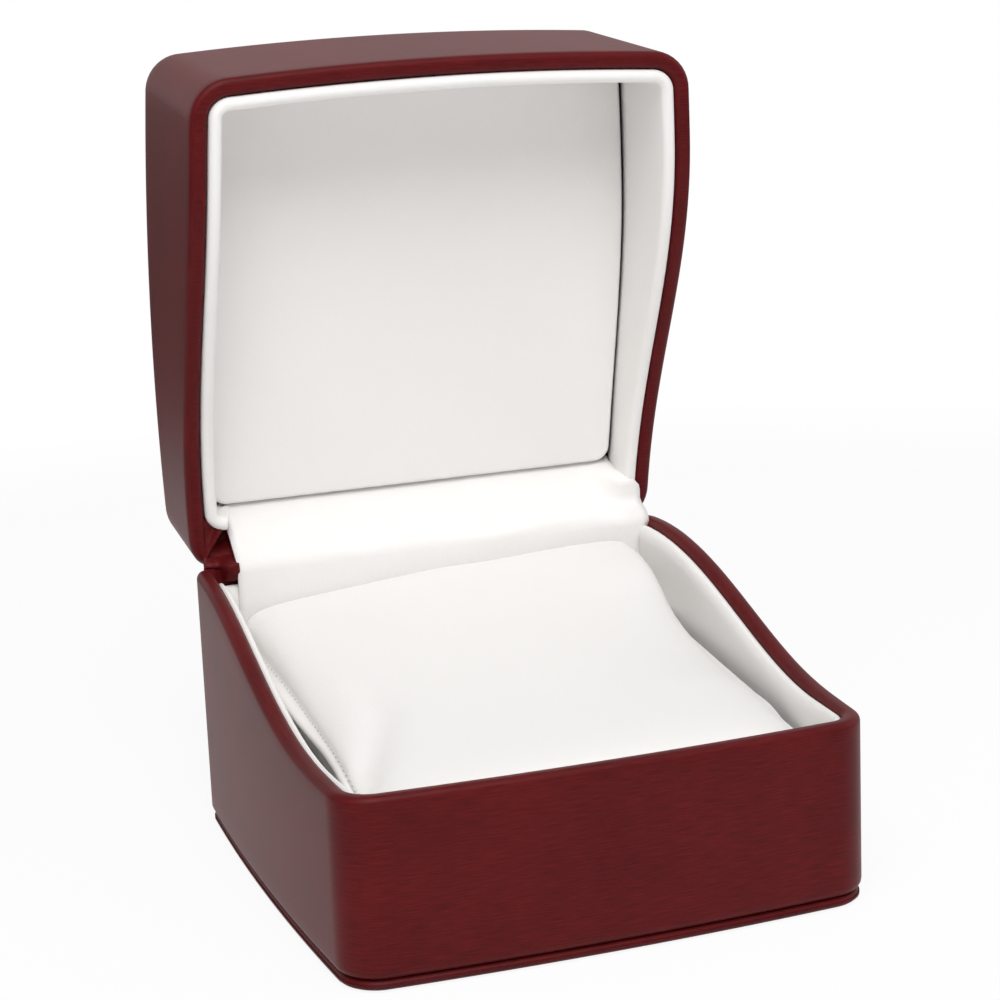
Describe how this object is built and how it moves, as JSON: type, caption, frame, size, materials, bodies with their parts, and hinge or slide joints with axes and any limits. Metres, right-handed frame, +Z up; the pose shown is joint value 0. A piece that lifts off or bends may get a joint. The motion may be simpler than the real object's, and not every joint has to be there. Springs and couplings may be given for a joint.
{
  "type": "jewellery box with pillow",
  "caption": "Small leatherette jewellery box with a deep spring-hinged lid, a curved parting line, a white lining and a loose stuffed pillow that a watch, bangle or ring rests on.",
  "frame": {"origin": "middle of the underside, on the surface that the box stands on", "axes": "+X to the right seen from the front, +Y towards the hinge at the back, +Z up"},
  "size_m": [0.1024, 0.129, 0.1551],
  "materials": {
    "burgundy_leatherette": "satin, brushed grain",
    "white_leatherette": "satin, fine pebble grain",
    "moulded_shell": "moulded, matt",
    "greyboard": "pressed board, matt",
    "foam": "open-cell foam and fibre filling",
    "hinge_steel": "plated spring steel",
    "white_thread": "twisted sewing thread"
  },
  "bodies": {
    "base": {"base_shell": "moulded_shell", "base_wrap": "burgundy_leatherette", "bottom_board": "greyboard", "bottom_wrap": "burgundy_leatherette", "base_liner_card": "greyboard", "base_lining": "white_leatherette", "floor_card": "greyboard", "floor_lining": "white_leatherette", "hinge_leaf_base": "hinge_steel", "hinge_rivets_base": "hinge_steel", "hinge_pin_left": "hinge_steel", "hinge_pin_right": "hinge_steel", "hinge_spring": "hinge_steel", "hinge_strip": "burgundy_leatherette", "hinge_flap": "white_leatherette"},
    "lid": {"lid_shell": "moulded_shell", "lid_wrap": "burgundy_leatherette", "lid_liner_card": "greyboard", "lid_lining": "white_leatherette", "lid_foam_block": "foam", "lid_pad_board": "greyboard", "lid_pad_foam": "foam", "lid_pad_cover": "white_leatherette", "hinge_leaf_lid": "hinge_steel", "hinge_rivets_lid": "hinge_steel"},
    "pillow": {"pillow_cover": "white_leatherette", "pillow_filling": "foam", "pillow_stitching": "white_thread"}
  },
  "joints": [
    {"name": "lid_hinge", "type": "hinge", "parent": "base", "child": "lid", "pos_m": [0, 0.0486, 0.0523], "axis": [-1, 0, 0], "range_deg": [-84, 0], "deforming": ["hinge_spring", "hinge_strip", "hinge_flap"]},
    {"name": "pillow_lift", "type": "slide", "parent": "base", "child": "pillow", "axis": [0, 0, 1], "range_m": [0, 0.008]}
  ]
}
